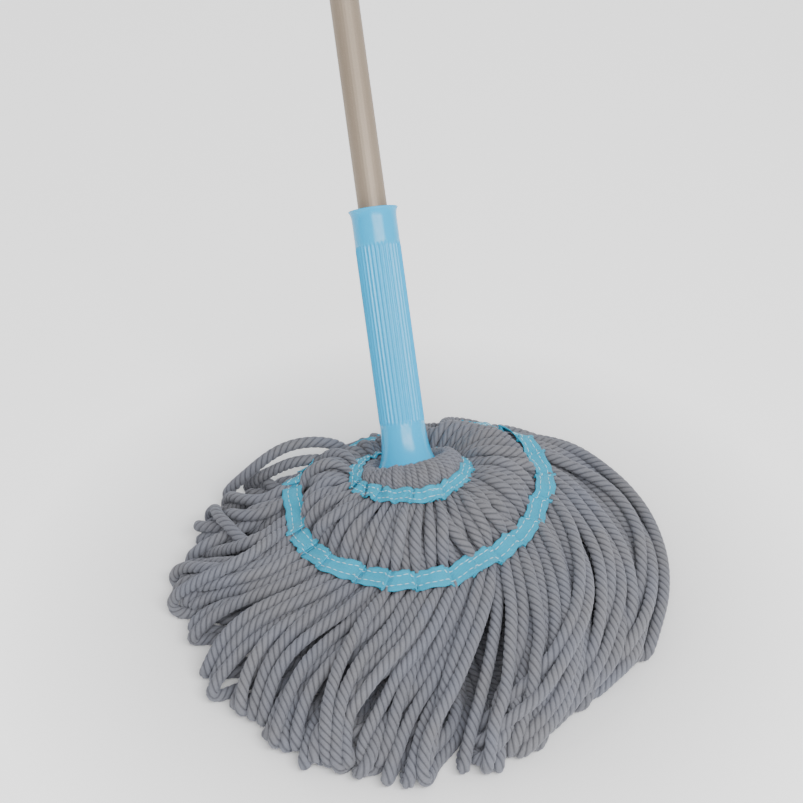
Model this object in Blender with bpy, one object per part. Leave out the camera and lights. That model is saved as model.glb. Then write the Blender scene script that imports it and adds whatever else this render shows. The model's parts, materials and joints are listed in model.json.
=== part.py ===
"""Self-wringing twist mop, resting on a floor with its pole leaning back. Metres, +Z up.

The origin is the centre of the foot cap's flat underside. Everything on the pole is modelled upright
along an empty that leans with the pole. The yarn head is modelled level, on the floor.
"""
import math

import bmesh
import bpy
from mathutils import Matrix, Vector

MM = 0.001
GAP = 0.3  # mm between pieces that touch

# Driving dimensions, in millimetres
LEAN_BACK = 40.1  # degrees from upright, towards +Y
LEAN_LEFT = 7.8  # degrees towards -X
FOOT_ABOVE_FLOOR = 32.0  # along the pole, from the floor to the foot cap's underside
TUBE_R = 11.0
TUBE_WALL = 0.8
TUBE_START = 9.3
TUBE_END = 950.0
SLEEVE_START = 66.0
SLEEVE_END = 261.0
SLEEVE_R = 16.9
SLEEVE_WALL = 2.0
BELL_R = 22.2
LIP_R = 18.8
UPPER_TUBE_R = 12.7
UPPER_TUBE_START = 590.0
UPPER_TUBE_END = 1010.0
GRIP_START = 880.0
GRIP_END = 1005.0
TAB_START = 11.0  # the hanging tab, from the upper tube's end
EYE_AT = 1037.0
EYE_R = 6.5
CAP_END = 1052.0
RIVET_AT = 38.0

# The yarn head, in millimetres
SECTORS = 12
SECTOR_GAP = 0.45
COLUMNS = 4  # cross-sections in one sector
OUTER_BAND_AT = 69.0  # along the pole from the floor
OUTER_BAND_R = 94.5
INNER_BAND_AT = 89.4
INNER_BAND_R = 42.3
INNER_BAND_TILT = 12.0  # degrees from level
UNDER_BAND_R = 114.5
BAND_WIDTH = 13.0

ROUND = 32  # steps round a turned piece
SMALL_ROUND = 16
BAND_STEPS = 36

for old in list(bpy.data.objects):
    bpy.data.objects.remove(old, do_unlink=True)


# ---------------------------------------------------------------- the pole's direction
POLE = Vector(
    (
        -math.sin(math.radians(LEAN_LEFT)),
        math.cos(math.radians(LEAN_LEFT)) * math.sin(math.radians(LEAN_BACK)),
        math.cos(math.radians(LEAN_LEFT)) * math.cos(math.radians(LEAN_BACK)),
    )
).normalized()
FLOOR_POINT = -FOOT_ABOVE_FLOOR * POLE  # where the pole's axis meets the floor, in millimetres
ACROSS = (Vector((1, 0, 0)) - POLE.x * POLE).normalized()  # the pole's own X


def on_pole(distance):
    """The point on the pole's axis at this distance from the floor, in millimetres."""
    return FLOOR_POINT + distance * POLE


# ---------------------------------------------------------------- materials
def material(name, colour, roughness, metallic=0.0):
    made = bpy.data.materials.new(name)
    made.use_nodes = True
    shader = made.node_tree.nodes["Principled BSDF"]
    shader.inputs["Base Color"].default_value = (*colour, 1.0)
    shader.inputs["Roughness"].default_value = roughness
    shader.inputs["Metallic"].default_value = metallic
    return made


YARN = material("yarn", (0.17, 0.175, 0.20), 0.95)
WEBBING = material("webbing", (0.10, 0.38, 0.50), 0.85)
BLUE_PLASTIC = material("blue_plastic", (0.18, 0.55, 0.72), 0.28)
WHITE_PLASTIC = material("white_plastic", (0.75, 0.75, 0.73), 0.4)
POLE_METAL = material("pole_metal", (0.42, 0.37, 0.31), 0.36, 1.0)
STEEL = material("steel", (0.6, 0.6, 0.6), 0.3, 1.0)


# ---------------------------------------------------------------- making objects
def add_object(name, mesh, colour, parent=None):
    made = bpy.data.objects.new(name, mesh)
    bpy.context.scene.collection.objects.link(made)
    mesh.materials.append(colour)
    made.parent = parent
    return made


def finish_mesh(name, shape, smooth=True):
    """Turn a bmesh in millimetres into a mesh in metres, with its faces pointing out."""
    bmesh.ops.recalc_face_normals(shape, faces=shape.faces)
    bmesh.ops.scale(shape, vec=(MM, MM, MM), verts=shape.verts)
    mesh = bpy.data.meshes.new(name)
    shape.to_mesh(mesh)
    shape.free()
    if smooth:
        mesh.shade_smooth()
        mesh.set_sharp_from_angle(angle=math.radians(35))
    return mesh


def turned_mesh(name, outline, steps=ROUND, wave=0.0):
    """A solid turned about Z from a closed outline of (radius, height).

    A wave lets every second step stand that much deeper, on the outline's widest part.
    """
    shape = bmesh.new()
    widest = max(r for r, _ in outline)
    columns = []
    for r, z in outline:
        if r == 0:
            columns.append([shape.verts.new((0, 0, z))] * steps)
            continue
        column = []
        for step in range(steps):
            turn = 2 * math.pi * step / steps
            deep = wave if step % 2 and r > widest - 1.5 else 0.0
            column.append(shape.verts.new(((r - deep) * math.cos(turn), (r - deep) * math.sin(turn), z)))
        columns.append(column)
    for here, there in zip(columns, columns[1:] + columns[:1]):
        for step in range(steps):
            after = (step + 1) % steps
            corners = [here[step], here[after], there[after], there[step]]
            corners = [v for i, v in enumerate(corners) if v not in corners[:i]]
            if len(corners) > 2:
                shape.faces.new(corners)
    return finish_mesh(name, shape)


def turned(name, outline, colour, parent, steps=ROUND, wave=0.0):
    return add_object(name, turned_mesh(name, outline, steps, wave), colour, parent)


def cut(target, cutter_name, mesh):
    """Cut a hole in the target with a cutter that isn't part of the object."""
    cutter = add_object(cutter_name, mesh, STEEL, pole_axis)
    cutter.hide_render = True
    cutter.display_type = "WIRE"
    hole = target.modifiers.new(cutter_name, "BOOLEAN")
    hole.operation = "DIFFERENCE"
    hole.solver = "EXACT"
    hole.object = cutter


def cut_across(target, cutter_name, radius, height, steps):
    """Cut a round hole right across the pole."""
    shape = bmesh.new()
    bmesh.ops.create_cone(
        shape, cap_ends=True, segments=steps, radius1=radius, radius2=radius, depth=40,
        matrix=Matrix.Translation((0, 0, height)) @ Matrix.Rotation(math.pi / 2, 4, "Y"),
    )
    cut(target, cutter_name, finish_mesh(cutter_name, shape))


pole_axis = bpy.data.objects.new("pole_axis", None)
bpy.context.scene.collection.objects.link(pole_axis)
pole_axis.matrix_world = Matrix((ACROSS, POLE.cross(ACROSS), POLE)).transposed().to_4x4()


# ---------------------------------------------------------------- the foot of the pole
def build_foot():
    turned(
        "base_cap",
        [(0, 0), (25.5, 0), (27.5, 1.0), (28, 2.5), (28, 5), (10, 5), (10, 2.6), (0, 2.6)],
        BLUE_PLASTIC, pole_axis,
    )
    turned(
        "base_disc",
        [(2.6, 5.3), (27, 5.3), (27.4, 6.4), (26.6, 9), (17, 9.6), (14.2, 12), (13.6, 24), (11.3, 24),
         (11.3, 9), (2.6, 9)],
        BLUE_PLASTIC, pole_axis,
    )
    turned(
        "base_screw",
        [(0, 2.9), (6, 2.9), (6, 5), (2.3, 5), (2.3, 29), (1, 31), (0, 31)],
        STEEL, pole_axis, SMALL_ROUND,
    )
    plug = turned(
        "pole_plug",
        [(2.6, 9.4), (9.9, 9.4), (9.9, 45), (0, 45), (0, 32), (2.6, 32)],
        WHITE_PLASTIC, pole_axis,
    )
    shank = 1.9
    cut_across(plug, "cut_plug_rivet", shank + GAP, RIVET_AT, SMALL_ROUND)
    head_start = TUBE_R + 0.4
    head_end = head_start + 1.0
    rivet = turned_mesh(
        "plug_rivet",
        [(0, -head_end), (3.0, -head_end), (3.4, -head_start), (shank, -head_start), (shank, head_start),
         (3.4, head_start), (3.0, head_end), (0, head_end)],
        SMALL_ROUND,
    )
    rivet.transform(Matrix.Translation((0, 0, RIVET_AT * MM)) @ Matrix.Rotation(math.pi / 2, 4, "Y"))
    add_object("plug_rivet", rivet, STEEL, pole_axis)
    turned(
        "strand_clamp_ring",
        [(14.9, 12.6), (19, 12.4), (20.4, 14), (19, 17.5), (14.5, 17.5)],
        WHITE_PLASTIC, pole_axis,
    )
    turned(
        "strand_root_ring",
        [(15, 18), (22, 18), (27, 22), (29, 30), (26, 38), (20, 43), (15, 43)],
        YARN, pole_axis,
    )
    bore = TUBE_R - TUBE_WALL
    tube = turned(
        "lower_tube",
        [(bore, TUBE_START), (TUBE_R, TUBE_START), (TUBE_R, TUBE_END), (bore, TUBE_END)],
        POLE_METAL, pole_axis,
    )
    cut_across(tube, "cut_tube_rivet", shank + GAP, RIVET_AT, SMALL_ROUND)


# ---------------------------------------------------------------- the wringing sleeve
def build_sleeve():
    start, end = SLEEVE_START, SLEEVE_END
    bore = SLEEVE_R - SLEEVE_WALL
    bush_bore = TUBE_R + 0.25
    bush_r = bore - GAP
    outside = [
        (BELL_R, start), (21.6, start + 2), (20.6, start + 4.5), (19.6, start + 7.5), (18.5, start + 12),
        (17.4, start + 17), (SLEEVE_R + 0.05, start + 23), (SLEEVE_R, start + 32), (SLEEVE_R + 0.1, end - 6),
        (17.6, end - 2.5), (LIP_R, end - 0.8), (LIP_R, end),
    ]
    inside = [
        (17.0, end - 0.4), (15.4, end - 4), (bore, end - 8), (bore, start + 24),
        (15.4, start + 17), (16.5, start + 12), (18.3, start + 5.5), (20.2, start),
    ]
    turned("wring_sleeve", outside + inside, BLUE_PLASTIC, pole_axis)
    for name, low in (("guide_bush_bottom", start + 26), ("guide_bush_top", end - 25)):
        high = low + 14
        turned(
            name,
            [(bush_bore, low), (bush_r - 0.6, low), (bush_r, low + 0.8), (bush_r, high - 0.8),
             (bush_r - 0.6, high), (bush_bore, high)],
            WHITE_PLASTIC, pole_axis,
        )
    turned(
        "yarn_clamp_ring",
        [(12.6, start + 4), (16.2, start + 4), (15.7, start + 12), (12.6, start + 12)],
        WHITE_PLASTIC, pole_axis,
    )
    turned(
        "yarn_collar",
        [(13.5, start - 16), (33.5, start - 18), (38.4, start - 11), (36.5, start - 2), (30, start + 3.5),
         (25, start + 4), (23, start - 0.6), (13.5, start - 0.6)],
        YARN, pole_axis,
    )


# ---------------------------------------------------------------- the telescopic pole's upper end
def build_upper_pole():
    turned(
        "tube_glide",
        [(0, TUBE_END - 25), (9.9, TUBE_END - 25), (9.9, TUBE_END + GAP), (11.6, TUBE_END + GAP),
         (11.6, TUBE_END + 10), (10.5, TUBE_END + 12), (0, TUBE_END + 12)],
        WHITE_PLASTIC, pole_axis,
    )
    low = UPPER_TUBE_START
    turned(
        "lock_collet",
        [(11.4, low - 18), (13.0, low - 18), (14.2, low), (14.2, low + 28.7), (15.2, low + 29),
         (15.2, low + 48), (14.2, low + 50), (13.0, low + 50), (13.0, low - 0.4), (11.4, low - 0.4)],
        WHITE_PLASTIC, pole_axis,
    )
    turned(
        "lock_collar",
        [(11.6, low - 30), (15.6, low - 30), (17.2, low - 27), (17.4, low + 22), (16.6, low + 28.4),
         (14.5, low + 28.4), (14.5, low - 0.5), (13.4, low - 18.6), (11.6, low - 22)],
        BLUE_PLASTIC, pole_axis, wave=0.7,
    )
    turned(
        "upper_tube",
        [(11.9, low), (UPPER_TUBE_R, low), (UPPER_TUBE_R, UPPER_TUBE_END), (11.9, UPPER_TUBE_END)],
        POLE_METAL, pole_axis,
    )
    inner = UPPER_TUBE_R + GAP
    grooves = 6
    pitch = (GRIP_END - GRIP_START - 8) / grooves
    outline = [(inner, GRIP_START), (14.8, GRIP_START)]
    for groove in range(grooves):
        at = GRIP_START + 4 + groove * pitch
        outline += [(16.0, at + 1), (16.0, at + pitch - 4), (15.1, at + pitch - 1)]
    outline += [(15.6, GRIP_END - 3), (14.8, GRIP_END), (inner, GRIP_END)]
    turned("grip", outline, BLUE_PLASTIC, pole_axis)
    cap = turned(
        "end_cap",
        [(0, UPPER_TUBE_END - 25), (11.6, UPPER_TUBE_END - 25), (11.6, UPPER_TUBE_END + GAP),
         (14, UPPER_TUBE_END + GAP), (14.3, UPPER_TUBE_END + 8), (14.0, EYE_AT), (12.5, EYE_AT + 8),
         (8, CAP_END - 2), (0, CAP_END)],
        BLUE_PLASTIC, pole_axis,
    )
    half_tab = 4.5
    for side, name in ((-1, "cut_tab_left"), (1, "cut_tab_right")):
        block = bmesh.new()
        bmesh.ops.create_cube(block, size=1)
        bmesh.ops.scale(block, vec=(20, 40, 40), verts=block.verts)
        middle = (side * (half_tab + 10), 0, UPPER_TUBE_END + TAB_START + 20)
        bmesh.ops.translate(block, vec=middle, verts=block.verts)
        cut(cap, name, finish_mesh(name, block, smooth=False))
    cut_across(cap, "cut_eye", EYE_R, EYE_AT, 24)


# ---------------------------------------------------------------- the yarn head
def ring_point(turn, centre, radius, tilt=0.0):
    """A point of a ring that is level, or tilted by some degrees towards the pole's own plane."""
    normal = Vector((0, 0, 1))
    if tilt:
        normal = Matrix.Rotation(math.radians(tilt), 3, Vector((0, 0, 1)).cross(POLE)) @ normal
    first = (Vector((1, 0, 0)) - normal.x * normal).normalized()
    second = normal.cross(first)
    return centre + radius * (math.cos(turn) * first + math.sin(turn) * second)


def sector(name, low_ring, high_ring, stations, number, parent=None):
    """One sector of the head: a block between two surfaces, given at some stations from inside out.

    low_ring and high_ring take a turn and a station and give a point.
    """
    middle = 2 * math.pi * (number + 0.5) / SECTORS
    shape = bmesh.new()
    grid = {}
    for column in range(COLUMNS):
        share = column / (COLUMNS - 1) - 0.5
        for station in range(stations):
            for level, ring in enumerate((low_ring, high_ring)):
                centre, radius, tilt = ring(station)
                half = math.pi / SECTORS - SECTOR_GAP / 2 / radius
                point = ring_point(middle + 2 * share * half, centre, radius, tilt)
                grid[column, station, level] = shape.verts.new(point)

    def quad(*keys):
        a, b, c, d = (grid[key] for key in keys)
        shape.faces.new((a, b, d))
        shape.faces.new((b, c, d))

    last = COLUMNS - 1
    end = stations - 1
    for station in range(end):
        for column in range(last):
            for level in (0, 1):
                quad((column, station, level), (column + 1, station, level),
                     (column + 1, station + 1, level), (column, station + 1, level))
        for column in (0, last):
            quad((column, station, 0), (column, station + 1, 0),
                 (column, station + 1, 1), (column, station, 1))
    for column in range(last):
        for station in (0, end):
            quad((column, station, 0), (column + 1, station, 0),
                 (column + 1, station, 1), (column, station, 1))
    add_object(name, finish_mesh(name, shape), YARN, parent)


# Outline of the yarn from the outer band to the floor, each (forward shift, height, radius):
# the shift is along the pole's lean, from the point where its axis meets the floor.
LOWER_UNDERSIDE = [
    (15, 5, 43), (18, 5, 62), (32, 5, 98), (34, 5, 108), (10, 5, 138), (6, 0.5, 156), (0, 0.5, 176)
]
LOWER_TOPSIDE = [
    (26, 31, 43), (26, 31, 60), (43.5, 35, 99.5), (43.5, 57, 106), (26, 53, 134), (10, 42, 166), (0, 20, 188)
]


def lower_ring(row):
    def ring(station):
        shift, height, radius = row[station]
        sideways = shift * POLE.x / POLE.y
        return FLOOR_POINT + Vector((sideways, shift, height)), radius, 0.0

    return ring


UPPER_STATIONS = 5
UPPER_INNER_R = INNER_BAND_R + 4.8
UPPER_OUTER_R = OUTER_BAND_R - 6.5


def upper_ring(offset_in, offset_out, bulge):
    def ring(station):
        share = station / (UPPER_STATIONS - 1)
        centre = on_pole(INNER_BAND_AT + (OUTER_BAND_AT - INNER_BAND_AT) * share)
        lift = offset_in + (offset_out - offset_in) * share + bulge * math.sin(math.pi * share)
        radius = UPPER_INNER_R + (UPPER_OUTER_R - UPPER_INNER_R) * share
        return centre + Vector((0, 0, lift)), radius, INNER_BAND_TILT * (1 - share)

    return ring


def band_mesh(name, centre, tilt, outline):
    """A closed ring of webbing, its outline given as (radius, height over the ring's plane)."""
    shape = bmesh.new()
    columns = []
    normal = ring_point(0, Vector(), 1, tilt).cross(ring_point(math.pi / 2, Vector(), 1, tilt))
    turns = [2 * math.pi * step / BAND_STEPS for step in range(BAND_STEPS)]
    for radius, height in outline:
        middle = centre + height * normal
        columns.append([shape.verts.new(ring_point(turn, middle, radius, tilt)) for turn in turns])
    for here, there in zip(columns, columns[1:] + columns[:1]):
        for step in range(BAND_STEPS):
            after = (step + 1) % BAND_STEPS
            shape.faces.new((here[step], here[after], there[after], there[step]))
    return finish_mesh(name, shape)


def build_head():
    for number in range(SECTORS):
        sector(
            f"lower_bundle_{number + 1:02d}",
            lower_ring(LOWER_UNDERSIDE), lower_ring(LOWER_TOPSIDE), len(LOWER_TOPSIDE), number,
        )
        sector(
            f"upper_bundle_{number + 1:02d}",
            upper_ring(-13, -9, 2), upper_ring(3, 6, 10), UPPER_STATIONS, number,
        )
    thick = 1.2
    tall = BAND_WIDTH / 2
    for name, at, radius, tilt in (
        ("inner_band", INNER_BAND_AT, INNER_BAND_R, INNER_BAND_TILT),
        ("outer_band", OUTER_BAND_AT, OUTER_BAND_R, 0.0),
    ):
        outer = radius + thick
        outline = [(radius, -tall), (outer, -tall), (outer - 0.6, tall), (radius - 0.6, tall)]
        add_object(name, band_mesh(name, on_pole(at), tilt, outline), WEBBING)
    inner, outer = UNDER_BAND_R - tall, UNDER_BAND_R + tall
    outline = [(inner, 1.2), (outer, 1.2), (outer, 3.2), (inner, 3.2)]
    add_object("under_band", band_mesh("under_band", on_pole(0), 0.0, outline), WEBBING)


build_foot()
build_sleeve()
build_upper_pole()
build_head()
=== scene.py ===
"""The looks of the self-wringing twist mop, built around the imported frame. Metres, +Z up.

The yarn is laid out strand by strand, then settled by a small rope simulation: each strand runs from
the clamp in the sleeve's bell, through the ruffle, the inner and the outer band, out to the head's edge
on the floor, back under the head through the under band, and up to the foot of the pole.
"""
import json
import math

import bpy
import numpy as np
from mathutils import Matrix, Vector


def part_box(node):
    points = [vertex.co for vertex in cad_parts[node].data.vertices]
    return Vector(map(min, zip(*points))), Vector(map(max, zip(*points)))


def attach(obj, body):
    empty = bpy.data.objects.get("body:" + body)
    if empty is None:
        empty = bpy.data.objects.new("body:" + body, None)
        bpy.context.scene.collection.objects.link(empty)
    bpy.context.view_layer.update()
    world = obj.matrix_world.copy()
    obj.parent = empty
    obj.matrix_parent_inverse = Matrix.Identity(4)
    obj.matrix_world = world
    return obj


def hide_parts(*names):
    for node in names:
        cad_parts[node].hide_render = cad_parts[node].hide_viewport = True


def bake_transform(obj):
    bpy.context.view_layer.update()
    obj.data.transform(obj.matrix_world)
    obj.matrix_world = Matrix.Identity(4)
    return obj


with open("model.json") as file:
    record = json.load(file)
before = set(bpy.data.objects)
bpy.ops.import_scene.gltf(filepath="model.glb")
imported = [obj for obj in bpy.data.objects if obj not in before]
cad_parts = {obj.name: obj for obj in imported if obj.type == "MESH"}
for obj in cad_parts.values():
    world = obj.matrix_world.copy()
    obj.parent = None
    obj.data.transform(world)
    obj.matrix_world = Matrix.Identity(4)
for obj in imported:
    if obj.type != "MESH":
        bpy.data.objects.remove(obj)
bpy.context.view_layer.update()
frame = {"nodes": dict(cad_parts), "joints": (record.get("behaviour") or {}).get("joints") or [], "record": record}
RNG = np.random.default_rng(7)
UP = np.array([0, 0, 1.0])

# ---- the pole and the floor, from the frame
JOINTS = {joint["name"]: joint for joint in frame["joints"]}
POLE = np.array(JOINTS["sleeve_lift"]["axis"], float)
POLE /= np.linalg.norm(POLE)
ACROSS = np.array([1.0, 0, 0]) - POLE[0] * POLE
ACROSS /= np.linalg.norm(ACROSS)
BACK = np.cross(POLE, ACROSS)
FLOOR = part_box("under_band")[0][2] - 0.0012
FLOOR_POINT = POLE * (FLOOR / POLE[2])  # where the pole's axis meets the floor


def along_pole(node):
    """How far a node on the pole reaches along its axis from the origin: (start, end) in metres."""
    heights = [np.array(v.co) @ POLE for v in frame["nodes"][node].data.vertices]
    return min(heights), max(heights)


def at_pole(turn, radius, height):
    """Points round the pole: turn in radians from ACROSS, radius from the axis, height along it."""
    turn, radius, height = (np.asarray(x, float)[..., None] for x in (turn, radius, height))
    return radius * (np.cos(turn) * ACROSS + np.sin(turn) * BACK) + height * POLE


def unit(v):
    return v / np.maximum(np.linalg.norm(v, axis=-1, keepdims=True), 1e-12)


def ease(x, low, high):
    """0 below low, 1 above high, smooth between."""
    t = np.clip((np.asarray(x, float) - low) / (high - low), 0, 1)
    return t * t * (3 - 2 * t)


# ---- node materials
class Nodes:
    """A short way to write the node tree of a material or of the world."""

    def __init__(self, name, kind=bpy.data.materials, shader="Principled BSDF"):
        self.made = kind.new(name)
        self.made.use_nodes = True
        self.tree = self.made.node_tree
        self.shader = self.tree.nodes[shader]

    def add(self, kind, inputs=None, **settings):
        node = self.tree.nodes.new(kind)
        for key, value in settings.items():
            setattr(node, key, value)
        for key, value in (inputs or {}).items():
            self.put(node.inputs[key], value)
        return node

    def put(self, socket, value):
        if isinstance(value, bpy.types.NodeSocket):
            self.tree.links.new(value, socket)
        else:
            socket.default_value = value

    def set(self, **values):
        for key, value in values.items():
            self.put(self.shader.inputs[key.replace("_", " ")], value)

    def math(self, operation, a, b=0.0):
        node = self.add("ShaderNodeMath", operation=operation)
        for socket, value in zip(node.inputs, (a, b)):
            self.put(socket, value)
        return node.outputs[0]

    def times(self, a, b):
        return self.math("MULTIPLY", a, b)

    def mix(self, share, a, b, blend="MIX"):
        node = self.add("ShaderNodeMix", data_type="RGBA", blend_type=blend)
        self.put(node.inputs["Factor"], share)
        self.put(node.inputs["A"], a)
        self.put(node.inputs["B"], b)
        return node.outputs["Result"]

    def noise(self, where, scale, detail=3.0, rough=0.55):
        inputs = {"Vector": where, "Scale": scale, "Detail": detail, "Roughness": rough}
        return self.add("ShaderNodeTexNoise", inputs).outputs[0]

    def ramp(self, value, low=0.3, high=0.7, a=0.0, b=1.0):
        inputs = {"Value": value, "From Min": low, "From Max": high, "To Min": a, "To Max": b}
        return self.add("ShaderNodeMapRange", inputs).outputs["Result"]

    def scaled(self, where, x, y, z=1.0):
        return self.add("ShaderNodeMapping", {"Vector": where, "Scale": (x, y, z)}).outputs["Vector"]

    def bump(self, height, strength, distance, normal=None):
        node = self.add("ShaderNodeBump", {"Height": height, "Strength": strength, "Distance": distance})
        if normal is not None:
            self.put(node.inputs["Normal"], normal)
        return node.outputs["Normal"]

    def coords(self):
        return self.add("ShaderNodeTexCoord").outputs["Object"]

    def uv(self, name):
        return self.add("ShaderNodeUVMap", uv_map=name).outputs["UV"]


def rgb(r, g, b):
    return (r, g, b, 1.0)


def yarn_material():
    """Matt grey four-ply microfibre: fibres that run along each ply, fluff, and painted shade in the creases
    between plies.
    """
    m = Nodes("yarn_fibre")
    uv = m.uv("yarn")
    split = m.add("ShaderNodeSeparateXYZ", {"Vector": uv})
    across = m.math("FRACT", split.outputs["Y"])
    from_crown = m.math("ABSOLUTE", m.math("SUBTRACT", across, 0.5))
    crease_shade = m.math("POWER", m.ramp(from_crown, 0.20, 0.5), 1.7)
    fibres = m.noise(m.scaled(uv, 260.0, 22.0), 1.0, 4.0, 0.65)
    fluff = m.noise(m.coords(), 900.0, 3.0, 0.6)
    patches = m.noise(m.coords(), 28.0, 2.0, 0.5)
    strand = m.add("ShaderNodeObjectInfo").outputs["Random"]
    warm = rgb(0.192, 0.193, 0.209)
    cool = rgb(0.181, 0.190, 0.226)
    tone = m.mix(m.ramp(patches, 0.35, 0.65), warm, cool)
    tone = m.mix(m.times(strand, 0.35), tone, rgb(0.138, 0.138, 0.152))
    light = m.ramp(fibres, 0.3, 0.72, 0.80, 1.16)
    grain = m.ramp(fluff, 0.3, 0.7, 0.92, 1.08)
    shade = m.times(light, grain)
    # painted shade: the colour darkens to 0.46 of itself in the creases between the plies
    shade = m.times(shade, m.ramp(crease_shade, 0.0, 1.0, 1.02, 0.46))
    lit = m.add("ShaderNodeCombineColor", {"Red": shade, "Green": shade, "Blue": shade})
    m.set(Base_Color=m.mix(1.0, tone, lit.outputs["Color"], "MULTIPLY"))
    m.set(Roughness=m.ramp(fibres, 0.3, 0.7, 0.98, 0.86), Specular_IOR_Level=0.16)
    m.set(Sheen_Weight=0.32, Sheen_Roughness=0.45, Sheen_Tint=rgb(0.75, 0.78, 0.88))
    height = m.math("ADD", m.times(fibres, 0.75), m.times(fluff, 0.25))
    m.set(Normal=m.bump(height, 0.55, 0.0007))
    return m.made


def webbing_material():
    """Light-blue woven tape: a fine herringbone of raised yarns, with painted shade between them."""
    m = Nodes("webbing_weave")
    uv = m.uv("tape")
    split = m.add("ShaderNodeSeparateXYZ", {"Vector": uv})
    along, across = split.outputs["X"], split.outputs["Y"]
    slant = m.math("PINGPONG", across, 0.0031)
    twill = m.math("SINE", m.times(m.math("ADD", along, slant), 2 * math.pi / 0.0011))
    cords = m.math("SINE", m.times(across, 2 * math.pi / 0.00085))
    weave = m.times(m.ramp(twill, -1, 1), m.ramp(cords, -1, 1, 0.55, 1.0))
    fuzz = m.noise(m.coords(), 1400.0, 3.0, 0.6)
    patches = m.noise(m.coords(), 60.0, 2.0)
    # painted shade: the deep colour falls where the weave is low, between the raised yarns
    deep = rgb(0.006, 0.190, 0.330)
    pale = rgb(0.025, 0.520, 0.760)
    tone = m.mix(m.ramp(weave, 0.05, 0.75), deep, pale)
    tone = m.mix(m.times(m.ramp(patches, 0.35, 0.7), 0.25), tone, rgb(0.03, 0.36, 0.54))
    tone = m.mix(m.times(m.ramp(fuzz, 0.58, 0.75), 0.35), tone, rgb(0.22, 0.60, 0.74))
    m.set(Base_Color=tone, Roughness=m.ramp(weave, 0, 1, 0.9, 0.62), Specular_IOR_Level=0.35)
    m.set(Sheen_Weight=0.25, Sheen_Roughness=0.4, Sheen_Tint=rgb(0.6, 0.85, 0.95))
    height = m.math("ADD", weave, m.times(fuzz, 0.35))
    m.set(Normal=m.bump(height, 0.7, 0.0004))
    return m.made


def thread_material():
    """Pale twisted sewing thread."""
    m = Nodes("sewing_thread")
    fine = m.noise(m.coords(), 2600.0, 2.0)
    m.set(Base_Color=m.mix(m.ramp(fine), rgb(0.36, 0.62, 0.70), rgb(0.72, 0.86, 0.90)))
    m.set(Roughness=m.ramp(fine, 0.3, 0.7, 0.75, 0.5), Specular_IOR_Level=0.4)
    m.set(Normal=m.bump(fine, 0.5, 0.0002))
    return m.made


def blue_plastic_material():
    """Glossy moulded polypropylene: even, with faint flow marks, pale dust specks and fine scuffs."""
    m = Nodes("blue_plastic_moulded")
    where = m.coords()
    flow = m.noise(m.scaled(where, 14.0, 14.0, 5.0), 1.0, 3.0, 0.5)
    grain = m.noise(where, 2400.0, 2.0, 0.5)
    scuffs = m.noise(m.scaled(where, 160.0, 160.0, 30.0), 1.0, 5.0, 0.7)
    dust = m.noise(where, 620.0, 3.0, 0.6)
    tone = m.mix(m.ramp(flow), rgb(0.0, 0.375, 0.70), rgb(0.0, 0.405, 0.74))
    tone = m.mix(m.times(m.ramp(dust, 0.66, 0.8), 0.10), tone, rgb(0.30, 0.66, 0.80))
    rough = m.math("ADD", m.ramp(scuffs, 0.45, 0.8, 0.16, 0.30), m.ramp(flow, 0.3, 0.7, 0.0, 0.04))
    m.set(Base_Color=tone, Roughness=rough, IOR=1.49, Specular_IOR_Level=0.36)
    m.set(Normal=m.bump(flow, 0.10, 0.0010, m.bump(grain, 0.05, 0.0001)))
    return m.made


def white_plastic_material():
    """Off-white nylon with a fine moulded texture."""
    m = Nodes("white_plastic_moulded")
    where = m.coords()
    grain = m.noise(where, 1300.0, 3.0)
    marks = m.noise(where, 45.0, 3.0)
    m.set(Base_Color=m.mix(m.ramp(marks), rgb(0.70, 0.70, 0.67), rgb(0.79, 0.79, 0.77)))
    m.set(Roughness=m.ramp(grain, 0.3, 0.7, 0.38, 0.52), Normal=m.bump(grain, 0.25, 0.0002))
    return m.made


def pole_material():
    """Satin champagne enamel on steel tube, drawn lengthwise, with faint rub marks round it."""
    m = Nodes("champagne_enamel")
    where = m.coords()
    turned = m.add("ShaderNodeMapping", {"Vector": where, "Rotation": pole_euler()}, vector_type="TEXTURE")
    local = turned.outputs["Vector"]
    drawn = m.noise(m.scaled(local, 900.0, 900.0, 9.0), 1.0, 3.0, 0.6)
    rubs = m.noise(m.scaled(local, 60.0, 60.0, 260.0), 1.0, 4.0, 0.7)
    flake = m.noise(where, 3200.0, 1.0, 0.5)
    cloud = m.noise(where, 11.0, 2.0, 0.5)
    tone = m.mix(m.ramp(cloud, 0.35, 0.65), rgb(0.270, 0.212, 0.156), rgb(0.302, 0.241, 0.182))
    tone = m.mix(m.times(m.ramp(flake, 0.6, 0.8), 0.35), tone, rgb(0.66, 0.60, 0.53))
    tone = m.mix(m.times(m.ramp(drawn, 0.55, 0.8), 0.14), tone, rgb(0.30, 0.255, 0.21))
    m.set(Base_Color=tone, Metallic=0.35, IOR=1.5)
    m.set(Roughness=m.math("ADD", m.ramp(drawn, 0.3, 0.7, 0.46, 0.54), m.ramp(rubs, 0.6, 0.8, 0.0, 0.08)))
    m.set(Normal=m.bump(m.math("ADD", drawn, m.times(flake, 0.4)), 0.10, 0.0002))
    return m.made


def steel_material():
    """Zinc-plated steel with fine turning marks."""
    m = Nodes("zinc_steel")
    where = m.coords()
    grain = m.noise(where, 1500.0, 3.0)
    cloud = m.noise(where, 90.0, 3.0)
    m.set(Base_Color=m.mix(m.ramp(cloud), rgb(0.55, 0.56, 0.57), rgb(0.66, 0.65, 0.62)))
    m.set(Metallic=1.0, Roughness=m.ramp(grain, 0.3, 0.7, 0.25, 0.42), Normal=m.bump(grain, 0.2, 0.0001))
    return m.made


def pole_euler():
    """The pole's own axes as a rotation for texture coordinates."""
    axes = Matrix((tuple(ACROSS), tuple(BACK), tuple(POLE))).transposed()
    return tuple(axes.to_euler())


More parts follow.
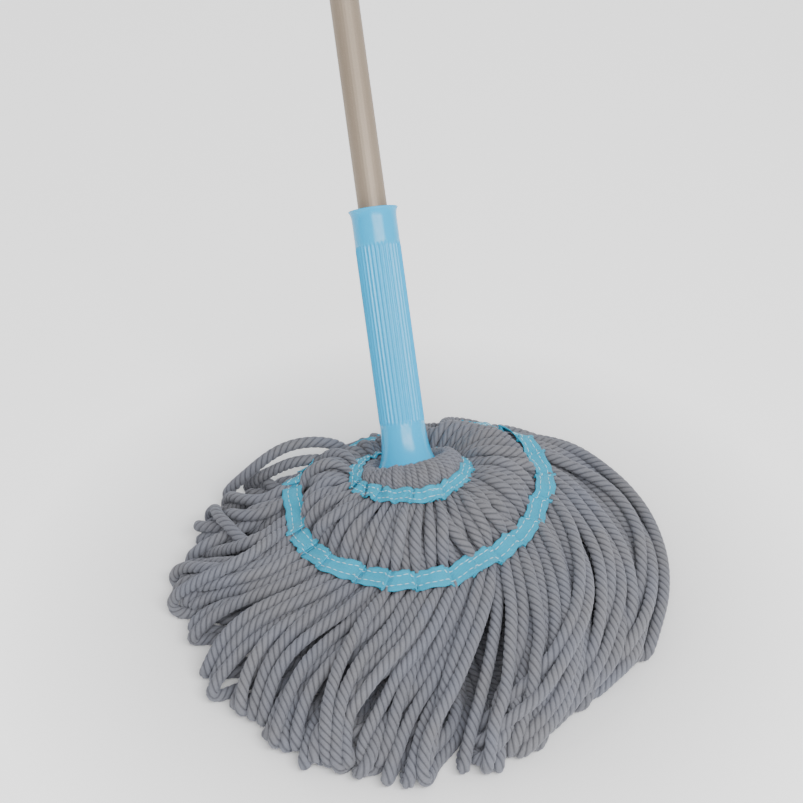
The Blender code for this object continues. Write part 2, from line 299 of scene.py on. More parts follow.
MATERIALS = {
    "yarn": yarn_material(),
    "webbing": webbing_material(),
    "thread": thread_material(),
    "blue_plastic": blue_plastic_material(),
    "white_plastic": white_plastic_material(),
    "pole_metal": pole_material(),
    "steel": steel_material(),
}


# ---- mesh helpers
def grid_faces(rows, columns, closed_columns=False):
    """Quads of a rows by columns grid of vertices, numbered row by row."""
    r = np.arange(rows - 1)
    c = np.arange(columns if closed_columns else columns - 1)
    r, c = (x.ravel() for x in np.meshgrid(r, c, indexing="ij"))
    r2, c2 = r + 1, (c + 1) % columns
    return np.stack([r * columns + c, r * columns + c2, r2 * columns + c2, r2 * columns + c], 1)


def raw_mesh(name, points, corners, starts):
    """A mesh from its points, the corners of all its faces in one row, and where each face starts there."""
    mesh = bpy.data.meshes.new(name)
    mesh.vertices.add(len(points))
    mesh.vertices.foreach_set("co", np.asarray(points, np.float32).ravel())
    mesh.loops.add(len(corners))
    mesh.loops.foreach_set("vertex_index", corners.astype(np.int32))
    mesh.polygons.add(len(starts))
    mesh.polygons.foreach_set("loop_start", starts.astype(np.int32))
    mesh.update(calc_edges=True)
    return mesh


def add_uv(mesh, name, values):
    """A uv layer, with one pair for each face corner."""
    layer = mesh.uv_layers.new(name=name)
    layer.data.foreach_set("uv", np.asarray(values, np.float32).ravel())


def link(name, data):
    made = bpy.data.objects.new(name, data)
    bpy.context.scene.collection.objects.link(made)
    return made


def make_object(name, points, quads, material, tape_uv=None, smooth=True):
    """A mesh object of quads."""
    mesh = raw_mesh(name, points, quads.ravel(), np.arange(0, quads.size, 4))
    if tape_uv is not None:
        add_uv(mesh, "tape", tape_uv)
    mesh.materials.append(material)
    if smooth:
        mesh.shade_smooth()
    mesh.validate()
    return link(name, mesh)


def curve_piece(a, b, c, d, t):
    """Points of the Catmull-Rom curve between b and c, at the shares t of the way."""
    square = 2 * a - 5 * b + 4 * c - d
    cube = 3 * b - a - 3 * c + d
    return 0.5 * (2 * b + (c - a) * t + square * t**2 + cube * t**3)


def with_ends(points):
    """The points with one more beyond each end, for a Catmull-Rom curve."""
    return np.vstack([2 * points[0] - points[1], points, 2 * points[-1] - points[-2]])


def smooth_line(points, count):
    """count points spaced evenly along a Catmull-Rom curve through the points."""
    points = np.asarray(points, float)
    ends = with_ends(points)
    t = np.linspace(0, 1, 12, endpoint=False)[:, None]
    fine = [curve_piece(a, b, c, d, t) for a, b, c, d in zip(ends, ends[1:], ends[2:], ends[3:])]
    return spaced(np.vstack(fine + [points[-1:]]), count)


def spaced(line, count):
    """count points spaced evenly along a polyline."""
    run = run_along(line)
    return at_run(np.linspace(0, run[-1], count), run, line)


def run_along(line):
    """The distance along a polyline at each of its points."""
    return np.concatenate([[0], np.cumsum(np.linalg.norm(np.diff(line, axis=0), axis=1))])


def length_of(line):
    return float(np.linalg.norm(np.diff(line, axis=0), axis=1).sum())


def at_run(want, run, values):
    """Vectors along a line, read at other distances along it."""
    return np.stack([np.interp(want, run, values[:, k]) for k in range(3)], 1)


# ---- the lie of the yarn
STRANDS = 108
PER_SECTOR = STRANDS // 12
YARN_R = 0.0043
STRAYS = 0.13  # the share of strands that lie across their neighbours
CROWDING = 0.12
CROWDED_SIDE = math.radians(35)
OUTER_BAND_AT = 0.069  # along the pole from the floor
INNER_BAND_AT = 0.0905
INNER_BAND_R = 0.0385
INNER_BAND_TILT = math.radians(20)
UNDER_BAND_R = 0.1145
UPPER_POINTS = 18  # clamp to inner band
MOUND_POINTS = 18  # inner to outer band
LOOP_POINTS = 46  # outer band, edge, under band
RETURN_POINTS = 20  # under band to foot

# How the loops lie, by the azimuth at which they leave the outer band (degrees, 0 to the right, 90 to the
# back). Three stations and the tip: how far each has swirled round, its distance from the point where the
# pole's axis meets the floor, and its height, in millimetres.
LIE = [
    # azimuth, (swirl, radius, height) three times, (swirl, radius) of the tip
    (-180, -3, 124, 44, -6, 150, 33, -10, 172, 18, -11, 184),
    (-165, -8, 122, 44, -13, 150, 36, -19, 174, 22, -20, 188),
    (-138, -26, 108, 46, -31, 133, 38, -34, 158, 26, -32, 178),
    (-118, -29, 90, 48, -30, 117, 42, -28, 147, 33, -21, 176),
    (-99, -23, 73, 46, -30, 105, 41, -32, 140, 32, -27, 176),
    (-76, -22, 88, 44, -33, 116, 38, -39, 145, 26, -34, 177),
    (-60, -20, 66, 47, -32, 95, 41, -43, 135, 28, -46, 183),
    (-47, -5, 66, 50, -28, 96, 41, -41, 140, 25, -44, 178),
    (-33, -3, 82, 50, -19, 107, 38, -33, 130, 22, -45, 166),
    (-27, -2, 92, 50, -17, 116, 39, -29, 135, 22, -41, 160),
    (-15, 0, 88, 53, -14, 108, 46, -30, 134, 30, -50, 157),
    (3, 0, 100, 55, -20, 115, 46, -42, 135, 30, -66, 152),
    (12, 2, 108, 57, -18, 124, 48, -45, 140, 30, -76, 151),
    (22, 0, 121, 57, -22, 141, 46, -50, 150, 27, -82, 150),
    (30, -3, 134, 57, -28, 155, 43, -55, 156, 24, -82, 150),
    (40, -4, 148, 52, -32, 167, 38, -58, 162, 22, -80, 151),
    (50, -2, 152, 49, -26, 174, 34, -48, 171, 20, -66, 160),
    (60, 3, 147, 45, -12, 173, 31, -32, 181, 19, -48, 175),
    (75, 4, 140, 42, -3, 164, 30, -15, 181, 17, -26, 186),
    (90, 3, 136, 40, 2, 156, 29, 0, 172, 15, -3, 180),
    (110, -2, 128, 42, 2, 146, 32, 7, 160, 14, 9, 168),
    (130, -4, 114, 33, 2, 130, 18, 4, 142, 9, 4, 152),
    (150, -8, 124, 36, -5, 140, 22, -2, 152, 12, 0, 160),
    (163, -6, 131, 46, -5, 159, 39, -8, 180, 28, -10, 190),
    (175, -8, 124, 46, -8, 146, 36, -8, 162, 20, -7, 176),
    (180, -3, 124, 44, -6, 150, 33, -10, 172, 18, -11, 184),
]
# The outer band's ring: azimuth round its own centre, radius and height over the floor of the yarn's middle.
OUTER_BAND_SHAPE = [
    (-180, 88, 47), (-155, 87, 47), (-135, 85, 48), (-110, 81, 49), (-90, 79, 50), (-68, 79, 51),
    (-47, 79, 53), (-35, 82, 55), (-24, 88, 54), (-10, 91, 56), (0, 94, 56), (12, 97, 57),
    (27, 103, 60), (40, 100, 61), (52, 90, 60), (62, 84, 57), (90, 82, 42), (110, 81, 38),
    (130, 83, 38), (150, 87, 44), (165, 89, 48), (180, 88, 47),
]
# How far the yarn puffs up between the two bands, in millimetres.
PUFF = [
    (-180, 10), (-140, 8), (-90, 7), (-45, 7), (-10, 10), (20, 15), (45, 18), (62, 13), (80, 9), (110, 7),
    (135, 9), (155, 12), (180, 13),
]
# How far the ruffle rises over the bell's rim, in millimetres.
RUFFLE_RISE = [
    (-180, 0.4), (-130, 0.6), (-90, 1.8), (-50, 3), (-10, 6.5), (35, 8), (90, 5), (140, 2), (180, 0.4),
]
# The strands that stand up in an arch: how much higher half way in millimetres, the further swirl in degrees,
# and how much further out in millimetres. They cut through the outer tape where they rise.
ARCHES = {92: (34, 11, 16), 95: (36, 17, 36)}
INTERLACE = 0.0013  # how far a strand lies over or under the inner band's ring
CROSSING_TURN = 10.0  # degrees by which the mound's strands turn to either side and cross
# The ruffle's points inside the bell: radius, and height from the bell's rim.
BELL_ROUTE = ((0.0150, 0.003), (0.0178, -0.0040), (0.0228, -0.0046), (0.0258, -0.0012))
# The course of ruffle and mound: the share of the way, and the share of the puff's height there.
RUFFLE_SHAPE = ((0.0, 0.0), (0.22, 0.75), (0.46, 1.0), (0.7, 0.75), (0.88, 0.12))
MOUND_SHAPE = ((0.10, 0.05), (0.28, 0.75), (0.5, 1.0), (0.72, 0.66), (0.88, 0.10))
ARCH_SHAPE = (0.75, 1.0, 0.55)  # an arch's height at the three stations
FURTHEST_TIP = 0.191


def from_table(table, column, azimuth):
    """A value from a table by azimuth in radians, going smoothly round the circle."""
    rows = np.array(table, float)
    degrees = (np.degrees(azimuth) + 180) % 360 - 180
    turns = [(degrees + shift + 180) % 360 - 180 for shift in (-5, 0, 5)]
    near = [np.interp(turn, rows[:, 0], rows[:, column]) for turn in turns]
    return (near[0] + 2 * near[1] + near[2]) / 4


def on_floor(azimuth, radius, height):
    """A point about the place where the pole's axis meets the floor."""
    azimuth = np.asarray(azimuth, float)
    x, y = radius * np.cos(azimuth), radius * np.sin(azimuth)
    return np.stack([FLOOR_POINT[0] + x, FLOOR_POINT[1] + y, FLOOR + height + 0 * azimuth], -1)


def outer_band(azimuth):
    """The outer band's ring, a little wavy."""
    centre = FLOOR_POINT + OUTER_BAND_AT * POLE
    radius = from_table(OUTER_BAND_SHAPE, 1, azimuth) / 1000
    height = from_table(OUTER_BAND_SHAPE, 2, azimuth) / 1000
    azimuth = np.asarray(azimuth, float)
    wave = 0.0012 * np.sin(7 * azimuth + 0.6) + 0.0008 * np.sin(13 * azimuth)
    x, y = (radius + wave) * np.cos(azimuth), (radius + wave) * np.sin(azimuth)
    return np.stack([centre[0] + x, centre[1] + y, FLOOR + height + 0.7 * wave], -1)


def inner_band(azimuth):
    """The inner band's ring, tilted a little from level towards the pole's own plane."""
    centre = FLOOR_POINT + INNER_BAND_AT * POLE
    hinge = unit(np.cross(UP, POLE))
    normal = UP * math.cos(INNER_BAND_TILT) + np.cross(hinge, UP) * math.sin(INNER_BAND_TILT)
    first = unit(np.array([1.0, 0, 0]) - normal[0] * normal)
    second = np.cross(normal, first)
    azimuth = np.asarray(azimuth, float)[..., None]
    wave = 1 + 0.035 * np.sin(5 * azimuth + 1.3) + 0.02 * np.sin(9 * azimuth)
    return centre + INNER_BAND_R * wave * (np.cos(azimuth) * first + np.sin(azimuth) * second), normal


def pole_turn(point):
    """The turn round the pole at which a point lies."""
    return math.atan2(float(point @ BACK), float(point @ ACROSS))


def strand_azimuth(number):
    """The azimuth at which a strand is sewn to the inner band. They stand closer together on the right."""
    even = 2 * math.pi * (number + 0.5) / STRANDS - math.pi
    return even - CROWDING * np.sin(even - CROWDED_SIDE)


def ruffle_route(azimuth, over, crossing):
    """Out under the bell's rim, over in a puff and down to the inner band."""
    turn = pole_turn(crossing)
    bell = along_pole("wring_sleeve")[0]
    end = np.array([np.linalg.norm(crossing - (crossing @ POLE) * POLE), crossing @ POLE - bell])
    rise = float(from_table(RUFFLE_RISE, 1, azimuth)) / 1000
    top = np.array([0.0258 + 0.35 * rise, rise + RNG.normal(0, 0.0008) + (0.0007 if over else -0.0007)])
    run = end - top
    puff_way = np.array([-run[1], run[0]]) / np.linalg.norm(run)
    swell = min(max(0.23 * np.linalg.norm(run), 0.003), 0.0075) + (0.0009 if over else -0.0009)
    wander = RNG.normal(0, 0.03)
    route = [at_pole(turn, r, bell + h) for r, h in BELL_ROUTE]
    for share, height in RUFFLE_SHAPE:
        r, h = top + share * run + (height * swell + RNG.normal(0, 0.0004)) * puff_way
        route.append(at_pole(turn + wander * math.sin(math.pi * share), r, bell + h))
    return route + [crossing]


def mound_route(azimuth, over, crossing):
    """Between the bands, where every other strand crosses over its neighbours."""
    outside = outer_band(azimuth)
    outward = np.array([math.cos(azimuth), math.sin(azimuth), 0])
    span = outside - crossing
    puff = float(from_table(PUFF, 1, azimuth)) / 1000 + (0.0035 if over else -0.001) + RNG.normal(0, 0.001)
    aside = np.cross(UP, outward) * RNG.normal(0, 0.005)
    route = [crossing]
    for share, height in MOUND_SHAPE:
        route.append(crossing + share * span + height * puff * UP + math.sin(math.pi * share) * aside)
    return route + [outside + np.array([0, 0, 0.0012 if over else -0.0022])]


def loop_route(number, azimuth, over, outside):
    """Out to the head's edge and back over the floor to the under band, and the azimuth there."""
    lie = [float(from_table(LIE, k, azimuth)) for k in range(1, 12)]
    layer = 0.002 if over else -0.003
    arch, arch_swirl, arch_reach = ARCHES.get(number, (0, 0, 0))
    swirl_more, reach, high = RNG.normal(0, 3.5), RNG.normal(0, 0.005), RNG.normal(0, 0.003)
    if RNG.random() < STRAYS:
        swirl_more += RNG.choice([-1.0, 1.0]) * RNG.uniform(9, 22)
        high += 0.006
    swirl_more += arch_swirl
    reach += arch_reach / 1000
    stations = []
    for k in range(3):
        swirl, radius, height = lie[3 * k : 3 * k + 3]
        share = (k + 1) / 3
        turn_to = azimuth + math.radians(swirl + share * swirl_more)
        wide = radius / 1000 + share * reach * 0.7
        up = max(height / 1000 + layer + share * high, 0.010) + arch / 1000 * ARCH_SHAPE[k]
        stations.append(on_floor(turn_to, wide, up))
    tip = azimuth + math.radians(lie[9] + swirl_more)
    tip_r = min(lie[10] / 1000 + reach, FURTHEST_TIP)
    side = RNG.choice([-1.0, 1.0]) * RNG.choice([0.012, 0.026, 0.040])
    under = azimuth + math.radians(0.6 * lie[9])
    route = [
        outside,
        0.55 * outside + 0.45 * stations[0] + np.array([0, 0, 0.001]),
        *stations,
        on_floor(tip, tip_r, 0.010),
        on_floor(tip + 0.7 * side, tip_r - 0.001, YARN_R + 0.001),
        on_floor(tip + 1.2 * side, tip_r - 0.016, YARN_R),
        on_floor(0.5 * (tip + 1.2 * side + under), 0.138, YARN_R + 0.001),
        on_floor(under, UNDER_BAND_R, YARN_R + 0.0022),
    ]
    return route, under


def return_route(under, sewn):
    """Under the head, from the under band to the clamp at the foot."""
    foot_end = along_pole("base_disc")[1]
    foot_turn = pole_turn(on_floor(under, 0.09, 0.02))
    return [
        sewn,
        on_floor(under, 0.092, YARN_R + 0.002),
        on_floor(under, 0.066, YARN_R + 0.004),
        0.5 * (on_floor(under, 0.048, 0.012) + at_pole(foot_turn, 0.036, foot_end * 0.62)),
        at_pole(foot_turn, 0.0265, foot_end * 0.66),
        at_pole(foot_turn, 0.0185, foot_end * 0.62),
    ]


def strand_route(number):
    """A strand's route as four lists of points, before it settles."""
    azimuth = strand_azimuth(number) + RNG.normal(0, 0.012)
    over = number % 2
    crossing, normal = inner_band(azimuth)
    crossing = crossing + normal * (INTERLACE if over else -INTERLACE)
    ruffle = ruffle_route(azimuth, over, crossing)
    azimuth += math.radians(-CROSSING_TURN if over else CROSSING_TURN) + RNG.normal(0, 0.015)
    mound = mound_route(azimuth, over, crossing)
    loop, under = loop_route(number, azimuth, over, mound[-1])
    return ruffle, mound, loop, return_route(under, loop[-1])


def thickness(section, count):
    """The strand's radius along a section: squeezed at the clamps and bands, full between them."""
    t = np.linspace(0, 1, count)
    if section == 0:
        return 0.0017 + 0.0008 * ease(t, 0.2, 0.5) - 0.0002 * ease(t, 0.7, 1)
    if section == 1:
        return 0.0023 + (YARN_R - 0.0023) * ease(t, 0.08, 0.5) - 0.0014 * ease(t, 0.70, 0.88)
    if section == 2:
        return YARN_R - 0.0014 * (1 - ease(t, 0.03, 0.11)) - 0.0003 * ease(t, 0.94, 1)
    return YARN_R * 0.93 - 0.0019 * ease(t, 0.15, 1)


SECTIONS = (UPPER_POINTS, MOUND_POINTS, LOOP_POINTS, RETURN_POINTS)
STARTS = np.cumsum([0] + [n - 1 for n in SECTIONS])  # where each section starts in a strand's points


def lay_strands():
    """All strands as an array (strand, point, xyz)."""
    lines = []
    for number in range(STRANDS):
        parts = [smooth_line(p, n) for p, n in zip(strand_route(number), SECTIONS)]
        lines.append(np.vstack([parts[0]] + [p[1:] for p in parts[1:]]))
    return np.array(lines)


def strand_radii():
    parts = [thickness(k, n) for k, n in enumerate(SECTIONS)]
    return np.concatenate([parts[0]] + [p[1:] for p in parts[1:]])


# ---- settling the yarn
ROUNDS = 420
GRAVITY = 0.00022
DRAG = 0.80
TOP_SPEED = 0.0015  # metres a round
NEIGHBOURS = 0.0125  # points closer than this may come to touch
PAIRS_EVERY = 6  # rounds between two searches for neighbours
BELL_CLEAR, BELL_TAPER = 0.0222, 0.0045
POLE_CLEAR, FOOT_CLEAR = 0.0115, 0.0285


def close_pairs(points, reach, strand, index):
    """Pairs of points within reach of each other, without those close along one strand."""
    cell = np.floor(points / reach).astype(np.int64)
    cell -= cell.min(0)
    size = cell.max(0) + 3
    key = ((cell[:, 0] + 1) * size[1] + cell[:, 1] + 1) * size[2] + cell[:, 2] + 1
    order = np.argsort(key, kind="stable")
    ordered = key[order]
    first, second = [], []
    for dx, dy, dz in np.ndindex(3, 3, 3):
        shift = ((dx - 1) * size[1] + dy - 1) * size[2] + dz - 1
        if shift < 0:
            continue
        low = np.searchsorted(ordered, key + shift, "left")
        high = np.searchsorted(ordered, key + shift, "right")
        many = high - low
        a = np.repeat(np.arange(len(points)), many)
        within = np.arange(many.sum()) - np.repeat(np.cumsum(many) - many, many)
        b = order[np.repeat(low, many) + within]
        keep = a < b if shift == 0 else np.ones(len(a), bool)
        first.append(a[keep])
        second.append(b[keep])
    a, b = np.concatenate(first), np.concatenate(second)
    near = ((points[a] - points[b]) ** 2).sum(1) < reach * reach
    same = (strand[a] == strand[b]) & (np.abs(index[a] - index[b]) < 5)
    keep = near & ~same
    return a[keep], b[keep]


def settle(lines, radii, rounds):
    """Let the strands fall, bend and push each other apart, held where they're clamped and sewn."""
    strands, count, _ = lines.shape
    rest = np.linalg.norm(np.diff(lines, axis=1), axis=2)
    strand = np.repeat(np.arange(strands), count)
    index = np.tile(np.arange(count), strands)
    radius = np.tile(radii, strands)
    held = np.zeros(count)
    for at in (STARTS[2], STARTS[4]):
        held[at - 1 : at + 2] = 1
    held[: STARTS[1] + 2] = 1
    free = 1 - held[None, :, None]
    home = lines.copy()
    pull = np.zeros(count)
    pull[STARTS[1] :] = 0.02
    pull[STARTS[2] : STARTS[3]] = 0.012 + 0.05 * ease(np.arange(SECTIONS[2] - 1) / SECTIONS[2], 0.45, 0.62)
    pull = pull[None, :, None]
    place = lines.copy()
    speed = np.zeros_like(place)
    bell_start = along_pole("wring_sleeve")[0]
    for step in range(rounds):
        gravity = GRAVITY * (1 - 0.8 * step / rounds)
        speed[..., 2] -= gravity * 0.35
        speed *= DRAG
        before = place.copy()
        place = place + speed * free
        for start in (0, 1, 0, 1):
            a, b = place[:, start:-1:2], place[:, start + 1 :: 2]
            gap = b - a
            far = np.maximum(np.linalg.norm(gap, axis=2, keepdims=True), 1e-9)
            fix = gap * (0.5 * (far - rest[:, start::2, None]) / far)
            fa, fb = free[:, start:-1:2], free[:, start + 1 :: 2]
            place[:, start:-1:2] = a + fix * fa
            place[:, start + 1 :: 2] = b - fix * fb
        place = place + (home - place) * pull * free
        for reach, share in ((1, 0.08), (2, 0.05)):
            middle = 0.5 * (place[:, : -2 * reach] + place[:, 2 * reach :])
            off = middle - place[:, reach:-reach]
            place[:, reach:-reach] += share * off * free[:, reach:-reach]
        flat = place.reshape(-1, 3)
        if step % PAIRS_EVERY == 0:
            pairs = close_pairs(flat, NEIGHBOURS, strand, index)
        a, b = pairs
        gap = flat[b] - flat[a]
        far = np.maximum(np.linalg.norm(gap, axis=1), 1e-9)
        deep = radius[a] + radius[b] - far
        hit = deep > 0
        a, b, gap, far, deep = a[hit], b[hit], gap[hit], far[hit], deep[hit]
        push = gap * (0.5 * deep / far)[:, None]
        total = np.zeros_like(flat)
        hits = np.bincount(a, minlength=len(flat)) + np.bincount(b, minlength=len(flat))
        for k in range(3):
            total[:, k] = np.bincount(b, push[:, k], len(flat)) - np.bincount(a, push[:, k], len(flat))
        total *= (1.4 / np.maximum(hits, 1.4))[:, None]
        moved = total.reshape(place.shape) * free
        place = place + moved
        # the pole, the bell and the foot stay clear of yarn
        height = place @ POLE
        off = place - height[..., None] * POLE
        out = np.linalg.norm(off, axis=2)
        bell_clear = BELL_CLEAR - BELL_TAPER * ease(height, bell_start, bell_start + 0.02)
        clear = np.where(height > bell_start, bell_clear, POLE_CLEAR)
        clear = np.where((height < 0.010) & (height > -0.001), FOOT_CLEAR, clear) + radii[None, :]
        short = np.clip(clear - out, 0, 0.002)[..., None]
        place = place + off / np.maximum(out, 1e-6)[..., None] * short * free
        # the floor, with friction
        low = FLOOR + radii[None, :]
        under = place[..., 2] < low
        place[..., 2] = np.where(under & (free[..., 0] > 0), low, place[..., 2])
        grip = np.where(place[..., 2] < low + 0.0008, 0.35, 0.0)[..., None]
        slide = (place - before) * np.array([1, 1, 0])
        place = place - grip * slide * free
        speed = np.clip(place - before, -TOP_SPEED, TOP_SPEED) * 0.9
        place = np.where(free > 0, place, home)
    return place


def soften(lines, rounds=2):
    """A light smoothing of each strand between its ends."""
    for _ in range(rounds):
        lines[:, 1:-1] += 0.25 * (lines[:, :-2] + lines[:, 2:] - 2 * lines[:, 1:-1])
    return lines


# ---- making yarn
PLIES = 4
LAY = 0.0220  # the length in which a ply goes once round
PLY_CROWN, PLY_GROOVE = 1.045, 0.195  # a cord's outline, as shares of its radius
CORD_STEP = 0.0015  # between a cord's rings
RETURN_STEP, RETURN_VERTS = 0.0024, 16
RUFFLE_STEP, RUFFLE_VERTS, RUFFLE_LAY = 0.0010, 20, 0.0115
VERTS_ROUND = 24


def cord_mesh(line, radii, step, verts_round, phase, lay):
    """A plied cord along a line: points, quads and corner uv (metres along, ply number across)."""
    count = max(int(length_of(line) / step), 6)
    dense = smooth_line(line, count)
    share = np.linspace(0, 1, len(radii))
    radius = np.interp(np.linspace(0, 1, count), share, radii)
    tangent = unit(np.gradient(dense, axis=0))
    side = unit(np.cross(tangent[0], [0.3, 0.2, 1.0]))
    sides = [side]
    for k in range(1, count):
        side = side - tangent[k] * (side @ tangent[k])
        side = side / np.linalg.norm(side)
        sides.append(side)
    sides = np.array(sides)
    other = np.cross(tangent, sides)
    run = run_along(dense)
    angle = np.arange(verts_round) * 2 * math.pi / verts_round
    from_crown = np.abs((angle * PLIES / (2 * math.pi)) % 1 - 0.5) * 2
    lobed = PLY_CROWN - PLY_GROOVE * from_crown**3.0
    twist = phase - 2 * math.pi * run / lay
    turn = angle[None, :] + twist[:, None]
    r = radius[:, None] * lobed[None, :]
    ring = dense[:, None, :] + (r * np.cos(turn))[..., None] * sides[:, None]
    ring = ring + (r * np.sin(turn))[..., None] * other[:, None]
    points = ring.reshape(-1, 3)
    faces = grid_faces(count, verts_round, closed_columns=True)[:, ::-1]
    row = faces // verts_round
    column = faces % verts_round
    wraps = (column.max(1) - column.min(1)) > verts_round / 2
    column = np.where(wraps[:, None] & (column < verts_round / 2), column + verts_round, column)
    uv = np.stack([run[row], column * PLIES / verts_round], -1)
    caps = []
    for start, flip in ((0, 1), ((count - 1) * verts_round, -1)):
        ring_ids = np.arange(verts_round)[::flip] + start
        middle = len(points) + len(caps) // verts_round
        caps += [(middle, ring_ids[k], ring_ids[(k + 1) % verts_round]) for k in range(verts_round)]
    first, last = dense[0] - 0.3 * radius[0] * tangent[0], dense[-1] + 0.3 * radius[-1] * tangent[-1]
    points = np.vstack([points, first, last])
    return points, faces, uv, caps, dense


def cords_object(name, lines, radii, step, verts_round=VERTS_ROUND, lay=LAY):
    """One object of several plied cords, and the middle line of the last."""
    points, quads, uvs, caps = [], [], [], []
    start = 0
    for line in lines:
        phase = RNG.uniform(0, 2 * math.pi)
        own_lay = lay * RNG.uniform(0.9, 1.15)
        p, faces, uv, ends, dense = cord_mesh(line, radii, step, verts_round, phase, own_lay)
        points.append(p)
        quads.append(faces + start)
        uvs.append(uv.reshape(-1, 2))
        caps.append(np.array(ends) + start)
        start += len(p)
    quads, caps = np.vstack(quads), np.vstack(caps)
    corners = np.concatenate([quads.ravel(), caps.ravel()])
    starts = np.concatenate([np.arange(len(quads)) * 4, quads.size + np.arange(len(caps)) * 3])
    mesh = raw_mesh(name, np.vstack(points), corners, starts)
    add_uv(mesh, "yarn", np.vstack(uvs + [np.zeros((caps.size, 2))]))
    mesh.materials.append(MATERIALS["yarn"])
    mesh.shade_smooth()
    made = link(name, mesh)
    return made, dense


def section(lines, number, k):
    return lines[number, STARTS[k] : STARTS[k] + SECTIONS[k]]


# ---- webbing tapes
RING_POINTS = 720
RING_ROUNDS = 10  # rounds of smoothing of a ring, and of the directions along it
FLOW_ROUNDS = 120
OVERLAP = 0.007  # of a tape's two ends
TAPE_HALF = 0.00032  # half a tape's thickness
# The marks of a knife pleat: the place from the fold's edge, and the lift.
FOLD_OUT = ((-0.0004, 0.0024), (0.0, 0.0019), (-0.0004, 0.0014))
FOLD_BACK = ((0.0004, 0.0006), (0.0, 0.0), (0.0004, -0.0006))
FOLD_AFTER = ((0.0010, -0.0007), (0.0036, 0.0004))


def blurred(ring, rounds):
    for _ in range(rounds):
        ring = 0.5 * ring + 0.25 * (np.roll(ring, 1, 0) + np.roll(ring, -1, 0))
    return ring


def ring_along(ring):
    """The direction along a closed ring at each of its points."""
    return unit(np.roll(ring, -1, 0) - np.roll(ring, 1, 0))


def shell(name, rows, half, uv_along, uv_across, material):
    """A closed thin shell about a grid of points (row, column, xyz)."""
    across = unit(np.gradient(rows, axis=1))
    along = unit(np.gradient(rows, axis=0))
    normal = unit(np.cross(along, across))
    count, columns, _ = rows.shape
    top, bottom = rows + normal * half, rows - normal * half
    points = np.vstack([top.reshape(-1, 3), bottom.reshape(-1, 3)])
    faces = grid_faces(count, columns)
    offset = count * columns
    right = np.arange(1, count) * columns + columns - 1
    end = (count - 1) * columns + np.arange(columns - 2, -1, -1)
    rim = np.concatenate([np.arange(columns), right, end, np.arange(count - 2, 0, -1) * columns])
    following = np.roll(rim, -1)
    sides = np.stack([rim, rim + offset, following + offset, following], 1)
    quads = np.vstack([faces, faces[:, ::-1] + offset, sides])
    value = np.stack(np.meshgrid(uv_along, uv_across, indexing="ij"), -1).reshape(-1, 2)
    value = np.vstack([value, value])
    return make_object(name, points, quads, material, value[quads].reshape(-1, 2)), top, normal


def stitches(name, top, normal, columns, dash, gap, radius):
    """Rows of dashed thread on a tape's upper surface, along the given columns of its grid."""
    points, faces = [], []
    start = 0
    for column in columns:
        low = int(math.floor(column))
        share = column - low
        line = top[:, low] * (1 - share) + top[:, low + 1] * share
        up = unit(normal[:, low] * (1 - share) + normal[:, low + 1] * share)
        run = run_along(line)
        at = 0.0015 + RNG.uniform(0, 0.002)
        while at + dash < run[-1]:
            length = dash * RNG.uniform(0.85, 1.12)
            t = np.linspace(0, 1, 6)
            where = at + t * length
            middle = at_run(where, run, line)
            rise = unit(at_run(where, run, up))
            aside = np.cross(unit(np.gradient(middle, axis=0)), rise)
            swell = radius * np.sqrt(np.clip(1 - (2 * t - 1) ** 4, 0.06, 1))
            middle = middle + rise * (0.00025 - 0.00035 * (2 * t - 1)[:, None] ** 4)
            angle = (np.arange(6) * math.pi / 3)[None, :, None]
            spoke = np.cos(angle) * aside[:, None] + np.sin(angle) * rise[:, None]
            points.append((middle[:, None] + swell[:, None, None] * spoke).reshape(-1, 3))
            quads = grid_faces(6, 6, closed_columns=True)
            caps = np.array([[0, 1, 2, 3], [0, 3, 4, 5], [33, 32, 31, 30], [35, 34, 33, 30]])
            faces.append(np.vstack([quads[:, ::-1], caps[:, ::-1]]) + start)
            start += 36
            at += length + gap * RNG.uniform(0.8, 1.25)
    return make_object(name, np.vstack(points), np.vstack(faces), MATERIALS["thread"])


def pleated(length, pleats, fold, step=0.0009):
    """A tape's course through knife pleats: places along the ring, the lift of each and the length run."""
    marks = [(0.0, 0.0)]
    for at in pleats:
        for edge, shape in ((fold / 2, FOLD_OUT), (-fold / 2, FOLD_BACK), (fold / 2, FOLD_AFTER)):
            marks += [(at + edge + shift, lift) for shift, lift in shape]
    marks.append((length, 0.0013))
    marks = np.array(marks)
    run = np.concatenate([[0], np.cumsum(np.abs(np.diff(marks[:, 0])) + 0.3 * np.abs(np.diff(marks[:, 1])))])
    want = np.unique(np.concatenate([np.arange(0, run[-1], step), run]))
    return np.interp(want, run, marks[:, 0]), np.interp(want, run, marks[:, 1]), want


